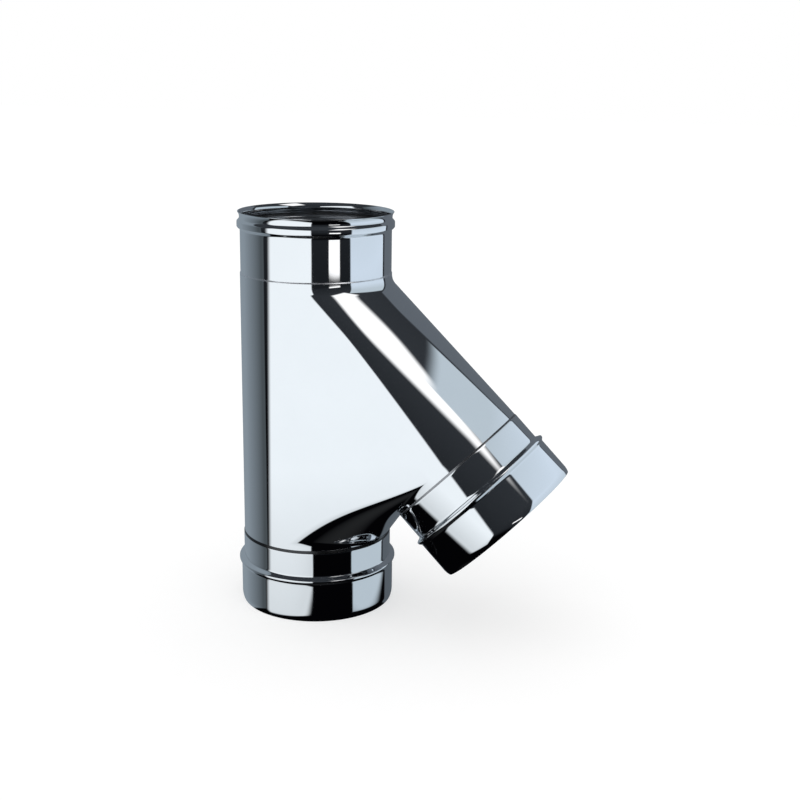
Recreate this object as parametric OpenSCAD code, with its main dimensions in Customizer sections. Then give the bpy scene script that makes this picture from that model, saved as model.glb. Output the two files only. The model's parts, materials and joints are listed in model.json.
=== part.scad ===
// Single-wall flue connector: an upright pipe with a branch that leaves it
// downwards at 45 degrees, a 135 degree tee. Units are millimetres, +Z is up,
// the origin is the middle of the lower mouth, and the branch points to +X.

/* [Sheet and bore] */
// Inside diameter of the body
bore_d = 150; // [100:1:250]
// Thickness of the sheet
sheet_t = 0.5; // [0.4:0.1:1]
// Length that each piece slips into the next one down
lap = 4; // [2:0.5:6]
// Room between two pieces where they slip together, on the radius
lap_clear = 0.1; // [0.06:0.02:0.3]
// How far a weld stands out of the sheet
weld_h = 0.5; // [0.2:0.1:1]
// Width of a weld
weld_w = 2.4; // [1:0.2:4]

/* [Body] */
// Height of the body, from the lower seam to the crease under its upper neck
body_h = 262; // [250:1:400]
// Length of the round neck at each of the body's three ends, up to the seam
body_neck_l = 8; // [7:0.5:12]
// Length of the lower and the branch neck at the bottom of the crotch
crotch_neck_l = 2; // [1.5:0.5:6]

/* [Branch] */
// Angle between the branch and the upright pipe, pointing down
branch_angle = 45; // [43:1:48]
// How far below the crease the two axes meet
branch_drop = 23.5; // [15:0.5:30]
// Distance along the branch from the meeting point to its seam
branch_l = 215; // [205:1:300]

/* [Insert end] */
// Length of the insert end above its seam
insert_l = 60; // [50:1:120]
// Distance from the lip down to the middle of its bead
insert_bead_below_lip = 12; // [12:0.5:20]
// How far the bead stands out of the wall
insert_bead_h = 3; // [1:0.1:4]
// Height of the flat crest of the bead
insert_bead_crest = 4; // [2:0.5:8]
// Height of each flank of the bead
insert_bead_flank = 4; // [3:0.5:6]
// How far the bottom of the groove stands out of the wall
groove_h = 0.5; // [0:0.1:1]
// Radius at which the lip turns outwards
lip_turn_r = 7.3; // [4:0.1:8]
// Angle through which the lip turns
lip_turn = 40; // [20:1:45]

/* [Sockets] */
// Room around the bead of an insert end inside a socket, on the radius
socket_clear = 0.4; // [0.1:0.05:1]
// Depth of the lower socket, from the mouth to the middle of its stop bead
base_socket_l = 43.5; // [30:0.5:80]
// Depth of the branch socket, from the mouth to the middle of its stop bead
branch_socket_l = 43.5; // [30:0.5:80]
// Length of the lower socket's neck, from the middle of the stop bead to the seam
base_neck_l = 28.5; // [15:0.5:60]
// Length of the branch socket's neck, from the middle of the stop bead to the seam
branch_neck_l = 32.5; // [15:0.5:60]
// How far the stop bead stands out of the socket's wall
stop_bead_h = 2.4; // [1:0.1:4]
// Height of the flat crest of the stop bead
stop_bead_crest = 1; // [0.5:0.5:4]
// Height of each flank of the stop bead
stop_bead_flank = 3.5; // [2:0.5:6]

/* [Hidden] */

// Outside radius of the body, which slips into the necks of the sockets
body_r = bore_d / 2 + sheet_t;
neck_r = body_r + lap_clear + sheet_t;
// The insert collar slips into the body's upper neck
insert_r = bore_d / 2 - lap_clear;
insert_bead_r = insert_r + insert_bead_h;
groove_r = insert_r + groove_h;
socket_r = insert_bead_r + socket_clear + sheet_t;
stop_bead_r = socket_r + stop_bead_h;

// Heights of the seams, the crease and the lip above the lower mouth
base_seam_z = base_socket_l + base_neck_l;
crease_z = base_seam_z + body_h;
top_seam_z = crease_z + body_neck_l;
lip_z = top_seam_z + insert_l;
// The branch axis leaves the pipe axis here, in this direction
meet_z = crease_z - branch_drop;
branch_dir = [sin(branch_angle), 0, -cos(branch_angle)];

// Steps of a full ring, an even number, and steps of a flank, a lip or a weld
ring_steps = 96;
ramp_steps = 8;
half = ring_steps / 2;

// Radial direction of step i on a level ring and on a branch ring. Both start
// at the front, -Y, where the body is flat, and pass +X on the way to the back.
function turn(i) = 360 * i / ring_steps - 90;
function level_dir(i) = [cos(turn(i)), sin(turn(i)), 0];
function branch_ring_dir(a) = [cos(a) * cos(branch_angle), sin(a), cos(a) * sin(branch_angle)];

// The ridge between the crease and the branch is developable: one plane touches
// both rings along each fold line. For a crease point in direction [c, s], the
// plane's normal is [c, s, k], and k is the larger root of a quadratic.
branch_top = meet_z * [0, 0, 1] + (branch_l - body_neck_l) * branch_dir;
ridge_rise = crease_z - branch_top[2];
function ridge_normal(i) =
    let (c = level_dir(i)[0], s = level_dir(i)[1], reach = body_r - branch_top[0] * c,
         qa = pow(ridge_rise, 2) - pow(body_r * sin(branch_angle), 2),
         qb = 2 * ridge_rise * reach - 2 * pow(body_r, 2) * c * cos(branch_angle) * sin(branch_angle),
         qc = pow(reach, 2) - pow(body_r, 2) * (pow(c * cos(branch_angle), 2) + s * s),
         k = (-qb + sqrt(max(qb * qb - 4 * qa * qc, 0))) / (2 * qa))
    [c, s, k] / norm([c, s, k]);

// Angle on the branch ring where the fold line from step i of the crease ends
function ridge_end(i) =
    let (n = ridge_normal(i)) atan2(n[1], n * branch_ring_dir(0));

// The upper half of a branch ring follows the ridge, the lower half is even
function branch_turn(i) = i <= half ? ridge_end(i) : turn(i);
function branch_step(i) = branch_ring_dir(branch_turn(i));

function level_ring(r, z) = [for (i = [0:ring_steps - 1]) r * level_dir(i) + [0, 0, z]];
function branch_ring(r, along) = [for (i = [0:ring_steps - 1])
    [0, 0, meet_z] + along * branch_dir + r * branch_step(i)];

// The crotch is ruled from step i of the lower ring to the branch ring. Both its
// necks get shorter from the flats to the bottom of the crotch, by a sine squared.
function crotch_neck(i) = crotch_neck_l + (body_neck_l - crotch_neck_l) * pow(sin(turn(i)), 2);
function neck_fall(i) = (body_neck_l - crotch_neck_l) * sin(2 * turn(i));
function crotch_foot(i) = body_r * level_dir(i) + [0, 0, base_seam_z + crotch_neck(i)];
function crotch_head(i) = [0, 0, meet_z] + (branch_l - crotch_neck(i)) * branch_dir
    + body_r * branch_step((ring_steps - i) % ring_steps);
function ruling(i) = crotch_head(i) - crotch_foot(i);
function unit(v) = v / norm(v);

// Normals of the crotch at its foot and at its head
function crotch_foot_normal(i) =
    unit(cross([-body_r * level_dir(i)[1], body_r * level_dir(i)[0], neck_fall(i)], ruling(i)));
function crotch_head_normal(i) =
    let (a = turn(ring_steps - i))
    unit(cross(body_r * (sin(a) * branch_ring_dir(0) - [0, cos(a), 0]) - neck_fall(i) * branch_dir, ruling(i)));

// Inner point of a sheet where two of its faces meet at the outer point p
function mitre(p, n1, n2) = p - sheet_t * (n1 + n2) / (1 + n1 * n2);

function fold_normal_top(i) = i <= half ? ridge_normal(i) : level_dir(i);
function fold_normal_base(i) = i <= half ? crotch_foot_normal(i) : level_dir(i);
function fold_normal_branch(i) = i <= half ? ridge_normal(i) : crotch_head_normal(ring_steps - i);

// The body's rings, outer ones first: neck end and crease at the top, crease and
// rim at the base, crease and rim at the branch
outer_rings = [
    level_ring(body_r, top_seam_z),
    level_ring(body_r, crease_z),
    [for (i = [0:ring_steps - 1]) i <= half ? crotch_foot(i)
        : body_r * level_dir(i) + [0, 0, base_seam_z + body_neck_l]],
    level_ring(body_r, base_seam_z - lap),
    [for (i = [0:ring_steps - 1]) i <= half ? branch_top + body_r * branch_step(i)
        : crotch_head(ring_steps - i)],
    branch_ring(body_r, branch_l + lap)];
inner_rings = [
    level_ring(bore_d / 2, top_seam_z),
    [for (i = [0:ring_steps - 1]) mitre(outer_rings[1][i], fold_normal_top(i), level_dir(i))],
    [for (i = [0:ring_steps - 1]) mitre(outer_rings[2][i], fold_normal_base(i), level_dir(i))],
    level_ring(bore_d / 2, base_seam_z - lap),
    [for (i = [0:ring_steps - 1]) mitre(outer_rings[4][i], fold_normal_branch(i), branch_step(i))],
    branch_ring(bore_d / 2, branch_l + lap)];

// Number of a point: ring r, step i
function at(r, i) = r * ring_steps + i % ring_steps;
function quad(a, b, c, d) = [[a, b, c], [a, c, d]];
// Faces between two rings, from step i0 to step i1, with a the upper ring
function band(a, b, i0, i1) = [for (i = [i0:i1 - 1]) each quad(at(a, i), at(a, i + 1), at(b, i + 1), at(b, i))];
function crotch_band(c, b) = [for (i = [0:half - 1])
    each quad(at(c, ring_steps - i), at(c, ring_steps - i - 1), at(b, i + 1), at(b, i))];
// One skin of the body, whose six rings start at ring r
function skin(r) = concat(
    band(r, r + 1, 0, ring_steps), band(r + 2, r + 3, 0, ring_steps), band(r + 4, r + 5, 0, ring_steps),
    band(r + 1, r + 2, half, ring_steps), band(r + 1, r + 4, 0, half), crotch_band(r + 4, r + 2),
    [[at(r + 1, 0), at(r + 4, 0), at(r + 2, 0)], [at(r + 1, half), at(r + 2, half), at(r + 4, half)]]);
function flipped(faces) = [for (f = faces) [f[2], f[1], f[0]]];

// Points of a smooth S from one height and radius to another
function ramp(z0, r0, z1, r1) = [for (i = [0:ramp_steps]) let (u = i / ramp_steps)
    [r0 + (r1 - r0) * (1 - cos(180 * u)) / 2, z0 + (z1 - z0) * u]];

// Points of an arc that starts upright at [r, z] and turns outwards
function turned_lip(r, z) = [for (i = [1:ramp_steps]) let (a = lip_turn * i / ramp_steps)
    [r + lip_turn_r * (1 - cos(a)), z + lip_turn_r * sin(a)]];

// Unit normal of a path at point i, pointing to its left
function inward(path, i) =
    let (a = path[max(i - 1, 0)], b = path[min(i + 1, len(path) - 1)])
    unit([a[1] - b[1], b[0] - a[0]]);

// Closed outline of a sheet whose outer face is the path
function sheet_outline(path) = concat(path,
    [for (i = [len(path) - 1:-1:0]) path[i] + sheet_t * inward(path, i)]);

module spun_sheet(path) {
    rotate_extrude($fn = ring_steps) polygon(sheet_outline(path));
}

// A half-round weld on a wall of radius r, from height z up
module weld_ring(r, z, h) {
    rotate_extrude($fn = ring_steps) polygon([for (i = [0:ramp_steps]) let (a = 180 * i / ramp_steps)
        [r + h * sin(a), z + weld_w / 2 * (1 - cos(a))]]);
}

// Moves its children to a point along the branch, with +Z down the branch
module along_branch(s) {
    translate([0, 0, meet_z]) rotate([0, 180 - branch_angle, 0]) translate([0, 0, s]) children();
}

// The folded shell: round at its three ends, flat at the front and the back
module body_shell() {
    color("silver") polyhedron(
        points = [for (ring = concat(outer_rings, inner_rings)) each ring],
        faces = concat(skin(0), flipped(skin(6)),
            band(6, 0, 0, ring_steps), band(3, 9, 0, ring_steps), band(5, 11, 0, ring_steps)));
}

// The insert end: a straight wall, a bead, a groove and a lip turned outwards,
// with the weld that joins it to the body's neck
module insert_collar() {
    bead_z = lip_z - insert_bead_below_lip;
    low = bead_z - insert_bead_crest / 2;
    high = bead_z + insert_bead_crest / 2;
    groove_z = lip_z - lip_turn_r * sin(lip_turn);
    path = concat(
        [[insert_r, top_seam_z - lap]],
        ramp(low - insert_bead_flank, insert_r, low, insert_bead_r),
        ramp(high, insert_bead_r, min(high + insert_bead_flank, groove_z), groove_r),
        turned_lip(groove_r, groove_z));
    color("gainsboro") {
        spun_sheet(path);
        weld_ring(insert_r, top_seam_z, lap_clear + sheet_t + weld_h);
    }
}

// A socket standing on its mouth: a wide wall, a stop bead, a narrower neck and
// the weld at the neck's end
module socket(depth, neck_l) {
    low = depth - stop_bead_crest / 2;
    high = depth + stop_bead_crest / 2;
    path = concat(
        [[socket_r, 0]],
        ramp(low - stop_bead_flank, socket_r, low, stop_bead_r),
        ramp(high, stop_bead_r, high + stop_bead_flank, neck_r),
        [[neck_r, depth + neck_l]]);
    spun_sheet(path);
    weld_ring(neck_r, depth + neck_l - weld_w, weld_h);
}

module base_socket() {
    color("lightgray") socket(base_socket_l, base_neck_l);
}

module branch_socket() {
    color("lightgray")
        along_branch(branch_l + branch_neck_l + branch_socket_l)
            mirror([0, 0, 1]) socket(branch_socket_l, branch_neck_l);
}

body_shell();
insert_collar();
base_socket();
branch_socket();
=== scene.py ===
import json

import bpy
import numpy as np
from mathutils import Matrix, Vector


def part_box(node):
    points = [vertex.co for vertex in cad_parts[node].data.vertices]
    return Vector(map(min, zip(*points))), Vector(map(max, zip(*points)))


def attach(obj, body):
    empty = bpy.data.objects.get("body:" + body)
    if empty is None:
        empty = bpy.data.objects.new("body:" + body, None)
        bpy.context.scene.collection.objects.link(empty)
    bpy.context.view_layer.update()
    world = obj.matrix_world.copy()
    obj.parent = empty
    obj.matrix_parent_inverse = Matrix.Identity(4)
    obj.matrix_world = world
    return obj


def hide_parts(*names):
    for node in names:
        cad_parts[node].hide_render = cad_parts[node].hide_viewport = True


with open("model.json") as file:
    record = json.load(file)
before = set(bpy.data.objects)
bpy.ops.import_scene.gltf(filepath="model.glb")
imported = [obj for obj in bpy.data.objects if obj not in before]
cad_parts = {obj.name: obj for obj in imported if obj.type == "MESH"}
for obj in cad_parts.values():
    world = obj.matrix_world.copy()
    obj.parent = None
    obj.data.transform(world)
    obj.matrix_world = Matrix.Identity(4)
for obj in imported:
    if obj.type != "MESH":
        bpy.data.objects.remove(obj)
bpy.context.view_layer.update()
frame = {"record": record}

# The folded body
# One sheet of bright stainless steel, half a millimetre thick, folded to a shell: half
# round at the back, flat at the front and the rear, with a ridge over the branch and a
# crotch under it. Each of its three ends is drawn to a short round neck.
mm = 0.001
sheet = 0.5 * mm
body_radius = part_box("body_shell")[1].y
top_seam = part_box("body_shell")[1].z
body_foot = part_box("body_shell")[0].z
base_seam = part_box("base_socket")[1].z
lap = base_seam - body_foot

# The branch leaves the pipe's axis downwards; its socket is 76 mm long, neck and all.
branch_mount = next(m for m in frame["record"]["mounts"] if m["name"] == "branch_socket")
branch_mouth = np.array(branch_mount["pos_m"])
branch_way = np.array(branch_mount["axis"])
branch_across = np.array([-branch_way[2], 0, branch_way[0]])
branch_socket_length = 76 * mm
branch_seam = branch_mouth - branch_socket_length * branch_way
sideways = np.array([0, 1, 0])

neck_length = 8 * mm
crease = top_seam - neck_length
branch_fold = branch_seam - neck_length * branch_way
ridge_fold_reach = 7 * mm
crotch_neck_length = 2 * mm
crotch_fold_share = 0.85
crotch_bulge = 8 * mm
crotch_bulge_lean = 0.65
fold_rows = 14
ruling_rows = 40
half_turn_steps = 150
join_distance = 0.002 * mm


def unit(v):
    """Vectors scaled to length one."""
    return v / np.linalg.norm(v, axis=-1, keepdims=True)


def level_ring(angles, z):
    """Points at the body's radius round the upright axis, at height z."""
    height = np.broadcast_to(z, angles.shape)
    return np.stack([body_radius * np.cos(angles), body_radius * np.sin(angles), height], -1)


def branch_ring(angles, centre):
    """Points at the body's radius round the branch axis, from its upper side."""
    across = np.cos(angles)[:, None] * branch_across + np.sin(angles)[:, None] * sideways
    return centre + body_radius * across


def ruled(start, first_fold, second_fold, end, reach):
    """Rows of points from one ring to another along straight lines that are folded twice.

    Each fold is rounded by a parabola, which starts the given reach before it."""
    leave, along = unit(first_fold - start), unit(second_fold - first_fold)
    arrive = unit(end - second_fold)
    rows = [start]
    for corner, before, after in ((first_fold, leave, along), (second_fold, along, arrive)):
        first, last = corner - reach * before, corner + reach * after
        if len(rows) > 1:
            previous = rows[-1]
            steps = np.linspace(0, 1, ruling_rows)[1:-1]
            rows += [previous + (first - previous) * t for t in steps]
        rows += [first * (1 - t) ** 2 + 2 * corner * t * (1 - t) + last * t * t
                 for t in np.linspace(0, 1, fold_rows)]
    return np.stack(rows + [end])


def ridge_angle(angles):
    """Where the straight line from the crease at these angles meets the branch ring.

    One plane touches both rings along the line. Its normal is [cos a, sin a, k], and k is
    the larger root of a quadratic, found by setting the plane against the branch ring."""
    c, s = np.cos(angles), np.sin(angles)
    rise = crease - branch_fold[2]
    reach = body_radius - branch_fold[0] * c
    sin_b, cos_b = branch_way[0], -branch_way[2]
    qa = rise ** 2 - (body_radius * sin_b) ** 2
    qb = 2 * rise * reach - 2 * body_radius ** 2 * c * cos_b * sin_b
    qc = reach ** 2 - body_radius ** 2 * ((c * cos_b) ** 2 + s ** 2)
    k = (-qb + np.sqrt(np.maximum(qb ** 2 - 4 * qa * qc, 0))) / (2 * qa)
    return np.arctan2(s, c * cos_b + k * sin_b)


front_to_rear = np.linspace(-np.pi / 2, np.pi / 2, half_turn_steps)
over = ridge_angle(front_to_rear)
under = -np.pi - front_to_rear
# The folds are sharp where they run out in the flats, and rounder towards the middle.
roundness = np.sqrt(np.cos(front_to_rear)).clip(0)[:, None]
ridge = ruled(level_ring(front_to_rear, top_seam), level_ring(front_to_rear, crease),
              branch_ring(over, branch_fold), branch_ring(over, branch_seam + lap * branch_way),
              ridge_fold_reach * roundness)

# The two necks get shorter towards the bottom of the crotch, by a sine squared, and its
# sides bulge up into the flats, by a sine squared that leans towards the base.
towards_flats = np.sin(front_to_rear)[:, None] ** 2
crotch_neck = crotch_neck_length + (neck_length - crotch_neck_length) * towards_flats
crotch_foot = level_ring(front_to_rear, base_seam) + crotch_neck * [0, 0, 1]
crotch_head = branch_ring(under, branch_seam) - crotch_neck * branch_way
crotch = ruled(level_ring(front_to_rear, body_foot), crotch_foot, crotch_head,
               branch_ring(under, branch_seam + lap * branch_way),
               crotch_fold_share * crotch_neck * roundness)
foot_to_head = crotch_head[0] - crotch_foot[0]
crotch_line = unit(foot_to_head)
share = ((crotch - crotch_foot[0]) @ crotch_line / np.linalg.norm(foot_to_head)).clip(0, 1)
bulge = crotch_bulge * np.sin(np.pi * share ** crotch_bulge_lean) ** 2 * (1 - np.cos(front_to_rear))
crotch += bulge[..., None] * np.array([-crotch_line[2], 0, crotch_line[0]])


def flat_side(edge):
    """The flat front or rear: lines from the pipe's edge to the edge of ridge and crotch.

    Along both edges the lines are spaced by the length of the outer one."""
    outer = np.concatenate([ridge[1:-1, edge], crotch[1:-1, edge][::-1]])
    inner = outer * [0, 1, 0]
    steps = np.linalg.norm(np.diff(outer, axis=0, prepend=outer[:1]), axis=1)
    inner[:, 2] = outer[0, 2] + (outer[-1, 2] - outer[0, 2]) * steps.cumsum() / steps.sum()
    across = np.linspace(0, 1, ruling_rows)[:, None, None]
    return inner * (1 - across) + outer * across


front, rear = flat_side(0), flat_side(-1)
round_heights = np.concatenate([[top_seam], front[0, :, 2], [body_foot]])
round_back = np.stack([level_ring(front_to_rear + np.pi, z) for z in round_heights])


def patch_faces(patch, first, inside):
    """Quads of a grid of points, turned so that they face away from the point inside."""
    rows, columns = patch.shape[:2]
    number = first + np.arange(rows * columns).reshape(rows, columns)
    quads = np.stack([number[:-1, :-1], number[:-1, 1:], number[1:, 1:], number[1:, :-1]], -1)
    quads = quads.reshape(-1, 4)
    corners = patch.reshape(-1, 3)[quads - first]
    normal = np.cross(corners[:, 2] - corners[:, 0], corners[:, 3] - corners[:, 1])
    outwards = ((corners.mean(1) - inside) * normal).sum() > 0
    return quads if outwards else quads[:, ::-1]


def tidy_faces(quads):
    """Quads with two corners in one place, as triangles; the rest as they are."""
    faces = [quads]
    for corner in range(4):
        quads = faces[0]
        pinched = quads[:, corner] == quads[:, (corner + 1) % 4]
        faces[0] = quads[~pinched]
        faces.append(np.delete(quads[pinched], corner, axis=1))
    triangles = np.concatenate(faces[1:])
    a, b, c = triangles.T
    return faces[0], triangles[(a != b) & (b != c) & (c != a)]


def vertex_normals(points, quads, triangles):
    """Sum of the normals of the faces round each point, by area, at length one."""
    normals = np.zeros_like(points)
    for faces in (quads, triangles):
        p = points[faces]
        normal = np.cross(p[:, 2] - p[:, 0], p[:, -1] - p[:, 1])
        for corner in range(faces.shape[1]):
            np.add.at(normals, faces[:, corner], normal)
    return unit(normals)


def open_edges(faces_list):
    """Edges with a face on one side only, in the direction in which that face runs."""
    runs = np.concatenate([np.stack([f, np.roll(f, -1, 1)], -1).reshape(-1, 2) for f in faces_list])
    key = np.sort(runs, 1)
    _, where, count = np.unique(key, axis=0, return_inverse=True, return_counts=True)
    return runs[count[where.ravel()] == 1]


def new_piece(name, points, faces):
    """A smooth mesh object at the origin, from points and lists of corner numbers."""
    mesh = bpy.data.meshes.new(name)
    mesh.from_pydata(points.tolist(), [], faces)
    mesh.shade_smooth()
    mesh.update()
    piece = bpy.data.objects.new(name, mesh)
    bpy.context.scene.collection.objects.link(piece)
    return piece


def dull_inside(piece, first, count):
    """Gives a run of faces the second material, the less polished inside."""
    index = np.zeros(len(piece.data.polygons), np.int32)
    index[first:first + count] = 1
    piece.data.polygons.foreach_set("material_index", index)


def folded_sheet(name, patches, inside):
    """Grids joined where their points meet, given the sheet's thickness on the inside.

    The inner skin is the outer one moved by the thickness against each point's normal, and
    takes the second material. Strips of sharp-edged quads close it at the open edges."""
    starts = np.cumsum([0] + [p.shape[0] * p.shape[1] for p in patches])
    points = np.concatenate([p.reshape(-1, 3) for p in patches])
    quads = np.concatenate([patch_faces(p, s, inside) for p, s in zip(patches, starts)])
    grid = np.round(points / join_distance).astype(np.int64)
    _, kept, new_number = np.unique(grid, axis=0, return_index=True, return_inverse=True)
    points = points[kept]
    quads, triangles = tidy_faces(new_number.ravel()[quads])
    normals = vertex_normals(points, quads, triangles)
    count = len(points)
    rim = open_edges([quads, triangles])
    rim_quads = np.stack([rim[:, 1], rim[:, 0], rim[:, 0] + count, rim[:, 1] + count], -1)
    faces = [quads, triangles, quads[:, ::-1] + count, triangles[:, ::-1] + count, rim_quads]
    both_skins = np.concatenate([points, points - sheet * normals])
    piece = new_piece(name, both_skins, sum([f.tolist() for f in faces], []))
    edges = np.empty(len(piece.data.edges) * 2, np.int32)
    piece.data.edges.foreach_get("vertices", edges)
    on_rim = np.isin(edges.reshape(-1, 2) % count, rim).all(1)
    skin = len(quads) + len(triangles)
    dull_inside(piece, skin, skin)
    sharp = piece.data.attributes.new("sharp_edge", "BOOLEAN", "EDGE")
    sharp.data.foreach_set("value", on_rim)
    return piece


# The sheet is bright annealed, so it mirrors its surroundings. Rolling leaves it very
# slightly wavy, and hands and wiping leave a faint haze that changes its sharpness.


def link(tree, source, target):
    """Joins two sockets of a node tree."""
    tree.links.new(source, target)


def node(tree, kind, **values):
    """Adds a node and sets its inputs by name and its properties by attribute."""
    made = tree.nodes.new(kind)
    for key, value in values.items():
        if hasattr(made, key) and key not in made.inputs:
            setattr(made, key, value)
        else:
            made.inputs[key].default_value = value
    return made


def bright_sheet_group():
    """Colour, roughness and normal of bright sheet that is a little wavy and hazy."""
    group = bpy.data.node_groups.new("bright_sheet", "ShaderNodeTree")
    face = group.interface
    for name in ("Wave height", "Wave size", "Haze", "Polish"):
        face.new_socket(name, in_out="INPUT", socket_type="NodeSocketFloat")
    face.new_socket("Tint", in_out="INPUT", socket_type="NodeSocketColor")
    face.new_socket("Color", in_out="OUTPUT", socket_type="NodeSocketColor")
    face.new_socket("Roughness", in_out="OUTPUT", socket_type="NodeSocketFloat")
    face.new_socket("Normal", in_out="OUTPUT", socket_type="NodeSocketVector")
    given = node(group, "NodeGroupInput")
    result = node(group, "NodeGroupOutput")
    place = node(group, "ShaderNodeTexCoord")
    waves = node(group, "ShaderNodeTexNoise", noise_dimensions="3D", Detail=1.5, Roughness=0.4)
    link(group, place.outputs["Object"], waves.inputs["Vector"])
    link(group, given.outputs["Wave size"], waves.inputs["Scale"])
    bump = node(group, "ShaderNodeBump", Strength=1.0)
    link(group, given.outputs["Wave height"], bump.inputs["Distance"])
    link(group, waves.outputs["Fac"], bump.inputs["Height"])
    link(group, bump.outputs["Normal"], result.inputs["Normal"])
    smears = node(group, "ShaderNodeTexNoise", noise_dimensions="3D", Scale=14.0, Detail=5.0,
                  Roughness=0.62)
    link(group, place.outputs["Object"], smears.inputs["Vector"])
    worn = node(group, "ShaderNodeMapRange", interpolation_type="SMOOTHSTEP")
    worn.inputs["From Min"].default_value = 0.45
    worn.inputs["From Max"].default_value = 0.75
    link(group, smears.outputs["Fac"], worn.inputs["Value"])
    hazed = node(group, "ShaderNodeMath", operation="MULTIPLY_ADD")
    link(group, worn.outputs["Result"], hazed.inputs[0])
    link(group, given.outputs["Haze"], hazed.inputs[1])
    link(group, given.outputs["Polish"], hazed.inputs[2])
    link(group, hazed.outputs["Value"], result.inputs["Roughness"])
    shade = node(group, "ShaderNodeMix", data_type="RGBA", blend_type="MULTIPLY")
    shade.inputs[0].default_value = 0.06
    link(group, given.outputs["Tint"], shade.inputs[6])
    link(group, smears.outputs["Fac"], shade.inputs[7])
    link(group, shade.outputs[2], result.inputs["Color"])
    return group


bright_sheet = bright_sheet_group()


def bright_steel(name, wave_height, wave_size, haze=0.03, polish=0.035,
                 tint=(0.86, 0.87, 0.885, 1)):
    """Mirror-bright stainless steel with its own waviness and haze."""
    material = bpy.data.materials.new(name)
    material.use_nodes = True
    tree = material.node_tree
    shader = tree.nodes["Principled BSDF"]
    shader.inputs["Metallic"].default_value = 1.0
    finish = tree.nodes.new("ShaderNodeGroup")
    finish.node_tree = bright_sheet
    for key, value in (("Wave height", wave_height), ("Wave size", wave_size), ("Haze", haze),
                       ("Polish", polish), ("Tint", tint)):
        finish.inputs[key].default_value = value
    link(tree, finish.outputs["Color"], shader.inputs["Base Color"])
    link(tree, finish.outputs["Roughness"], shader.inputs["Roughness"])
    link(tree, finish.outputs["Normal"], shader.inputs["Normal"])
    return material


in_the_duct = np.array([60, 0, 200]) * mm
body = folded_sheet("folded_body", [ridge, crotch, round_back, front, rear], in_the_duct)
inside_steel = bright_steel("inside_steel", wave_height=0.15 * mm, wave_size=12.0, haze=0.1,
                            polish=0.16, tint=(0.5, 0.51, 0.53, 1))
body.data.materials.append(
    bright_steel("folded_sheet_steel", wave_height=0.25 * mm, wave_size=9.0))
body.data.materials.append(inside_steel)
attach(body, "root")
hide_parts("body_shell")

# The insert collar
# A ring rolled from the same sheet, with a bead and a groove pressed in and its lip
# turned outwards. It stands in the body's upper neck and goes into the next pipe above.
ring_steps = 360
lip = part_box("insert_collar")[1].z
collar_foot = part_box("insert_collar")[0].z
insert_mount = next(m for m in frame["record"]["mounts"] if m["name"] == "insert_end")
insert_bead_radius = insert_mount["dims"]["r_mm"] * mm
insert_bead_rise = 3 * mm
insert_radius = insert_bead_radius - insert_bead_rise
groove_rise = 0.5 * mm
groove_radius = insert_radius + groove_rise
flank_rows = 16
rim_rows = 5


def flank(z0, r0, z1, r1):
    """Profile rows [r, z] that change from one radius to another along half a cosine wave."""
    t = np.linspace(0, 1, flank_rows)
    return np.stack([r0 + (r1 - r0) * (1 - np.cos(np.pi * t)) / 2, z0 + (z1 - z0) * t], -1)


def wall(z0, z1, r, rows):
    """Profile rows [r, z] of a straight wall."""
    return np.stack([np.full(rows, r), np.linspace(z0, z1, rows)], -1)


def rolled_sheet(profile):
    """A closed outline: the profile outside, the sheet's thickness inside, and round edges."""
    steps = np.gradient(profile, axis=0)
    inwards = unit(steps @ [[0, 1], [-1, 0]])
    middle = profile + inwards * sheet / 2
    ends = []
    for end, way in ((-1, 1), (0, -1)):
        t = np.linspace(0, np.pi, rim_rows + 2)[1:-1]
        along = unit(steps[end]) * way
        turn = np.sin(t)[:, None] * along - np.cos(t)[:, None] * way * inwards[end]
        ends.append(middle[end] + sheet / 2 * turn)
    return np.concatenate([profile, ends[0], (profile + inwards * sheet)[::-1], ends[1]])


def spun(name, outline):
    """A closed outline of [r, z] carried round the upright axis: x = r cos a, y = r sin a."""
    a = np.linspace(0, 2 * np.pi, ring_steps, endpoint=False)
    r, z = outline.T
    level = np.tile(z[:, None], ring_steps)
    points = np.stack([np.outer(r, np.cos(a)), np.outer(r, np.sin(a)), level], -1)
    number = np.arange(len(r) * ring_steps).reshape(len(r), ring_steps)
    right, up = np.roll(number, -1, 1), np.roll(number, -1, 0)
    quads = np.stack([number, right, np.roll(up, -1, 1), up], -1).reshape(-1, 4)
    return new_piece(name, points.reshape(-1, 3), quads.tolist())


bead_low, bead_high = lip - 14 * mm, lip - 10 * mm
bead_flank = 4 * mm
lip_radius = 7.3 * mm
lip_angle = 40
lip_turn = np.radians(np.linspace(0, lip_angle, 16)[1:])
groove_height = lip - sheet / 2 - lip_radius * np.sin(lip_turn[-1])
turned_lip = np.stack([groove_radius + lip_radius * (1 - np.cos(lip_turn)),
                       groove_height + lip_radius * np.sin(lip_turn)], -1)
collar_profile = np.concatenate([
    wall(collar_foot, bead_low - bead_flank, insert_radius, 30)[:-1],
    flank(bead_low - bead_flank, insert_radius, bead_low, insert_bead_radius),
    flank(bead_high, insert_bead_radius, bead_high + bead_flank, groove_radius),
    turned_lip])
collar = spun("insert_ring", rolled_sheet(collar_profile))
collar.data.materials.append(bright_steel("collar_steel", wave_height=0.12 * mm, wave_size=18.0))
collar.data.materials.append(inside_steel)
# The lip is as bright inside as outside.
below_lip = len(collar_profile) + rim_rows + len(turned_lip)
dull_inside(collar, below_lip * ring_steps, (len(collar_profile) - len(turned_lip)) * ring_steps)
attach(collar, "root")
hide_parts("insert_collar")

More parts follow.
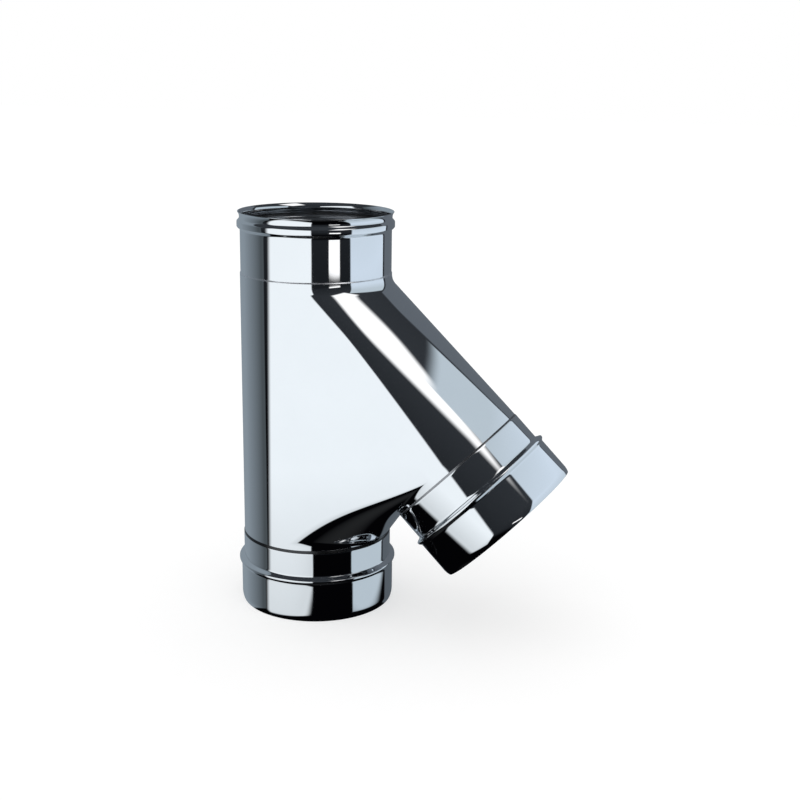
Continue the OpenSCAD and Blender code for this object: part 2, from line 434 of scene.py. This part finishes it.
# The base socket
# A ring rolled wide enough to take the insert end of the next pipe. A stop bead is
# pressed in where that pipe's lip comes to rest, and the neck above it holds the body.
base_mount = next(m for m in frame["record"]["mounts"] if m["name"] == "base_socket")
socket_radius = base_mount["dims"]["r_mm"] * mm + sheet
stop_bead_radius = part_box("base_socket")[1].y
neck_step = 0.6 * mm
neck_radius = body_radius + neck_step
stop_bead_flank = 3.5 * mm
stop_bead_crest = 1 * mm
socket_depth = base_mount["dims"]["length_mm"] * mm + stop_bead_flank + stop_bead_crest / 2
mouth_curl = 1.2 * mm
mouth_curl_height = 7 * mm


def socket_profile(length):
    """Profile of a socket that stands on its mouth: curled edge, wall, stop bead and neck."""
    low = socket_depth - stop_bead_crest / 2
    high = low + stop_bead_crest
    t = np.linspace(0, 1, 12)
    hem = sheet / 2
    curl = np.stack([socket_radius - mouth_curl * (1 - t) ** 2,
                     hem + t * (mouth_curl_height - hem)], -1)
    return np.concatenate([
        curl[:-1],
        wall(mouth_curl_height, low - stop_bead_flank, socket_radius, 20)[:-1],
        flank(low - stop_bead_flank, socket_radius, low, stop_bead_radius),
        flank(high, stop_bead_radius, high + stop_bead_flank, neck_radius)[:-1],
        wall(high + stop_bead_flank, length, neck_radius, 16)])


base = spun("base_ring", rolled_sheet(socket_profile(base_seam)))
socket_steel = bright_steel("socket_steel", wave_height=0.12 * mm, wave_size=18.0)
base.data.materials.append(socket_steel)
base.data.materials.append(inside_steel)
wall_rows = len(socket_profile(base_seam))
dull_inside(base, (wall_rows + rim_rows) * ring_steps, wall_rows * ring_steps)
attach(base, "root")
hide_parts("base_socket")

# The branch socket
# The same kind of ring, with a neck 4 mm longer, on the end of the branch. It is turned so
# that its mouth looks down along the branch.


def put_on_branch(piece):
    """Turns a piece that stands on its mouth at the origin, so that it hangs on the branch."""
    points = np.empty(len(piece.data.vertices) * 3)
    piece.data.vertices.foreach_get("co", points)
    x, y, z = points.reshape(-1, 3).T[:, :, None]
    placed = branch_mouth + x * branch_across + y * sideways - z * branch_way
    piece.data.vertices.foreach_set("co", placed.ravel())
    piece.data.update()


branch = spun("branch_ring", rolled_sheet(socket_profile(branch_socket_length)))
put_on_branch(branch)
branch.data.materials.append(socket_steel)
branch.data.materials.append(inside_steel)
dull_inside(branch, (wall_rows + rim_rows) * ring_steps, wall_rows * ring_steps)
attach(branch, "root")
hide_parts("branch_socket")

# The girth welds
# Each ring is welded to the body all round, and the weld is ground and polished until
# only a fine line shows where the sheet steps from one radius to the other. Each weld
# laps over the rim of the wider sheet, and the two on the sockets also stand out a little.
# The welds are rougher than the sheet, and the darkness of each line is painted shade.
skim = 0.02 * mm
weld_depth = 0.3 * mm
weld_rise = 0.06 * mm
weld_lap = 0.4 * mm
top_weld_width = 1.2 * mm
base_weld_width = 2.6 * mm
branch_weld_width = 1.7 * mm


def weld(name, low, low_radius, high, high_radius, height):
    """A smooth step, half a cosine wave, with a low rib on it, half a sine wave high."""
    t = np.linspace(0, 1, 20)
    step = (high_radius - low_radius) * (1 - np.cos(np.pi * t)) / 2
    r = low_radius + step + height * np.sin(np.pi * t)
    inner = min(low_radius, high_radius) - weld_depth
    under = np.array([[inner, high], [inner, low]])
    return spun(name, np.concatenate([np.stack([r, low + (high - low) * t], -1), under]))


top_weld = weld("top_weld", top_seam - weld_lap, body_radius + skim,
                top_seam + top_weld_width, insert_radius + skim, 0)
base_weld = weld("base_weld", base_seam - weld_lap, neck_radius + skim,
                 base_seam + base_weld_width, body_radius + skim, weld_rise)
branch_weld = weld("branch_weld", branch_socket_length - weld_lap, neck_radius + skim,
                   branch_socket_length + branch_weld_width, body_radius + skim, weld_rise)
put_on_branch(branch_weld)
# Painted shade: each weld's tint darkens its line by its own amount: near black at the base, mid
# grey on the branch, light grey at the top.
for piece, slot, shade in ((top_weld, "rolled_collar", 0.8), (base_weld, "rolled_socket", 0.06),
                           (branch_weld, "rolled_socket", 0.3)):
    steel = bright_steel(piece.name + "_steel", wave_height=0.1 * mm, wave_size=120.0, haze=0.1,
                         polish=0.25, tint=(shade, shade, shade * 1.04, 1))
    piece.data.materials.append(steel)
    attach(piece, "root")

# The studio
# White surroundings, a pale floor that keeps a soft shadow, and the cards and lamps
# that a bright part is photographed between. Only the metal sees the cards.
camera_azimuth = -66.76
cards_centre = np.array([60, 0, 200]) * mm


def set_ramp(ramp, stops):
    """Gives a colour ramp its stops, each a position and a colour."""
    elements = ramp.color_ramp.elements
    while len(elements) < len(stops):
        elements.new(0.5)
    for element, (position, colour) in zip(elements, stops):
        element.position, element.color = position, (*colour, 1)


def studio_card(name, colours, fade_across, fade_up):
    """Plain light that fades out at its edges, with one colour or several from foot to head."""
    material = bpy.data.materials.new(name)
    material.use_nodes = True
    tree = material.node_tree
    tree.nodes.clear()
    place = node(tree, "ShaderNodeTexCoord")
    split = node(tree, "ShaderNodeSeparateXYZ")
    link(tree, place.outputs["UV"], split.inputs[0])
    masks = []
    for axis, fade in ((0, fade_across), (1, fade_up)):
        centred = node(tree, "ShaderNodeMath", operation="SUBTRACT")
        centred.inputs[1].default_value = 0.5
        link(tree, split.outputs[axis], centred.inputs[0])
        size = node(tree, "ShaderNodeMath", operation="ABSOLUTE")
        link(tree, centred.outputs[0], size.inputs[0])
        edge = node(tree, "ShaderNodeMapRange", interpolation_type="SMOOTHSTEP")
        edge.inputs["From Min"].default_value = 0.5
        edge.inputs["From Max"].default_value = 0.5 - fade
        link(tree, size.outputs[0], edge.inputs["Value"])
        masks.append(edge)
    both = node(tree, "ShaderNodeMath", operation="MULTIPLY")
    link(tree, masks[0].outputs["Result"], both.inputs[0])
    link(tree, masks[1].outputs["Result"], both.inputs[1])
    blend = node(tree, "ShaderNodeValToRGB")
    link(tree, split.outputs[1], blend.inputs[0])
    set_ramp(blend, colours)
    light = node(tree, "ShaderNodeEmission", Strength=1.0)
    link(tree, blend.outputs[0], light.inputs["Color"])
    mix = node(tree, "ShaderNodeMixShader")
    link(tree, both.outputs[0], mix.inputs[0])
    link(tree, node(tree, "ShaderNodeBsdfTransparent").outputs[0], mix.inputs[1])
    link(tree, light.outputs[0], mix.inputs[2])
    link(tree, mix.outputs[0], node(tree, "ShaderNodeOutputMaterial").inputs["Surface"])
    return material


def card(name, azimuth, elevation, distance, roll, turn, width, height, fade, *colours):
    """A rectangle that looks at the part, seen only in its reflections.

    Azimuth is counted from the camera's side, counter-clockwise from above. The turn is
    about the card's upright, and the roll about the line to the part. The fade is given across
    and up, and each colour with its place from foot to head."""
    a, e, turn, roll = np.radians([camera_azimuth + azimuth, elevation, turn, roll])
    out = np.array([np.cos(a) * np.cos(e), np.sin(a) * np.cos(e), np.sin(e)])
    level = np.array([-np.sin(a), np.cos(a), 0])
    up = np.cross(out, level)
    level = level * np.cos(turn) - out * np.sin(turn)
    width, height = width + fade[0], height + fade[1]
    u = (level * np.cos(roll) + up * np.sin(roll)) * width / 2
    v = (up * np.cos(roll) - level * np.sin(roll)) * height / 2
    centre = cards_centre + out * distance
    points = np.stack([centre - u - v, centre + u - v, centre + u + v, centre - u + v])
    piece = new_piece(name, points, [[0, 1, 2, 3]])
    corners = piece.data.uv_layers.new(name="UVMap")
    corners.data.foreach_set("uv", [0, 0, 1, 0, 1, 1, 0, 1])
    piece.data.materials.append(studio_card(name, colours, fade[0] / width, fade[1] / height))
    for kind in ("camera", "diffuse", "shadow", "transmission", "volume_scatter"):
        setattr(piece, "visible_" + kind, False)


# Each card lies where the photograph's reflections put it. The lamp gives the thin white
# strip, and the slate card gives the edges on the right their grey.
card("strip_lamp", 24.8, -2.5, 1.626, 0.8, 11.8, 0.48, 0.084, (0.05, 0.02),
     (0.0, (1.4, 1.4, 1.4)), (1.0, (1.4, 1.4, 1.4)))
card("pale_card", 87.2, 1.4, 0.397, 1.4, -12.6, 0.586, 0.79, (0.02, 0.05),
     (0.35, (0.54, 0.63, 0.7)), (0.6, (0.71, 0.82, 0.94)), (0.8, (0.56, 0.65, 0.72)))
card("top_softbox", 40.5, 50.1, 1.104, 50.2, 3.7, 0.682, 0.418, (0.16, 0.08),
     (0.0, (1.25, 1.25, 1.25)), (1.0, (1.25, 1.25, 1.25)))
card("white_card", -32.3, -3.1, 0.525, -2.4, -36.8, 0.718, 0.816, (0.05, 0.06),
     (0.1, (0.75, 0.8, 0.83)), (0.34, (1.0, 1.06, 1.1)))
card("grey_card", -137, 0, 0.6, 90, 0, 1.2, 1.6, (0.05, 0.05),
     (0.1, (0.075, 0.09, 0.1)), (0.45, (0.26, 0.31, 0.355)))
card("slate_card", 152, 0, 0.6, 0, 0, 0.64, 1.2, (0.05, 0.05),
     (0.1, (0.1, 0.12, 0.14)), (0.5, (0.13, 0.15, 0.175)))

floor_size = 12
floor_corners = np.array([[-1, -1, 0], [1, -1, 0], [1, 1, 0], [-1, 1, 0]]) * floor_size
floor = new_piece("floor", floor_corners, [[0, 1, 2, 3]])
floor_paint = bpy.data.materials.new("floor_paint")
floor_paint.use_nodes = True
paint = floor_paint.node_tree
paint.nodes.clear()
glow = node(paint, "ShaderNodeEmission", Color=(1, 1, 1, 1), Strength=0.55)
matt = node(paint, "ShaderNodeBsdfDiffuse", Color=(0.5, 0.5, 0.5, 1))
floor_sum = node(paint, "ShaderNodeAddShader")
link(paint, glow.outputs[0], floor_sum.inputs[0])
link(paint, matt.outputs[0], floor_sum.inputs[1])
link(paint, floor_sum.outputs[0], node(paint, "ShaderNodeOutputMaterial").inputs["Surface"])
floor.data.materials.append(floor_paint)
floor.visible_glossy = False

# Beyond the cards the metal sees a dark studio, black below the horizon and a little
# lighter above it and straight below.
world = bpy.data.worlds.new("studio")
bpy.context.scene.world = world
world.use_nodes = True
sky = world.node_tree
sky.nodes.clear()
direction = node(sky, "ShaderNodeTexCoord")
upness = node(sky, "ShaderNodeSeparateXYZ")
link(sky, direction.outputs["Generated"], upness.inputs[0])
height_share = node(sky, "ShaderNodeMapRange")
height_share.inputs["From Min"].default_value = -1
link(sky, upness.outputs["Z"], height_share.inputs["Value"])
dark_colour = node(sky, "ShaderNodeValToRGB")
set_ramp(dark_colour, (
    (0.0, (0.018, 0.019, 0.02)), (0.06, (0.001, 0.001, 0.0015)), (0.36, (0.001, 0.001, 0.0015)),
    (0.45, (0.018, 0.021, 0.025)), (0.95, (0.036, 0.041, 0.048))))
link(sky, height_share.outputs["Result"], dark_colour.inputs[0])
dark = node(sky, "ShaderNodeBackground", Strength=1.0)
link(sky, dark_colour.outputs[0], dark.inputs["Color"])
white = node(sky, "ShaderNodeBackground", Color=(1, 1, 1, 1), Strength=1.0)
seen = node(sky, "ShaderNodeMixShader")
path = node(sky, "ShaderNodeLightPath")
link(sky, path.outputs["Is Glossy Ray"], seen.inputs[0])
link(sky, white.outputs[0], seen.inputs[1])
link(sky, dark.outputs[0], seen.inputs[2])
link(sky, seen.outputs[0], node(sky, "ShaderNodeOutputWorld").inputs["Surface"])

# The camera
# It stands where the photograph was taken from, 1.26 m from the pipe's axis and a
# little above the lip. The focal length is given as a share of the picture's width.
camera_distance = 1.2553
camera_height = 0.5424
camera_yaw, camera_pitch, camera_roll = np.radians([19.36, 14.82, 0.74])
film_width = 36
focal_share = 1268.45 / 800
camera_data = bpy.data.cameras.new("camera")
camera = bpy.data.objects.new("camera", camera_data)
bpy.context.scene.collection.objects.link(camera)
bpy.context.scene.camera = camera
camera_data.sensor_width = film_width
camera_data.lens = film_width * focal_share
camera_data.clip_start = 0.01
right = np.array([np.cos(camera_yaw), np.sin(camera_yaw), 0])
ahead = np.array([-np.sin(camera_yaw), np.cos(camera_yaw), 0])
up = np.array([0, 0, 1.0])
look = ahead * np.cos(camera_pitch) - up * np.sin(camera_pitch)
above = up * np.cos(camera_pitch) + ahead * np.sin(camera_pitch)
side = right * np.cos(camera_roll) + above * np.sin(camera_roll)
top = above * np.cos(camera_roll) - right * np.sin(camera_roll)
a = np.radians(camera_azimuth)
place = [camera_distance * np.cos(a), camera_distance * np.sin(a), camera_height]
pose = np.eye(4)
pose[:3, :4] = np.column_stack([side, top, -look, place])
camera.matrix_world = pose.T.tolist()
bpy.context.scene.view_settings.view_transform = "Standard"
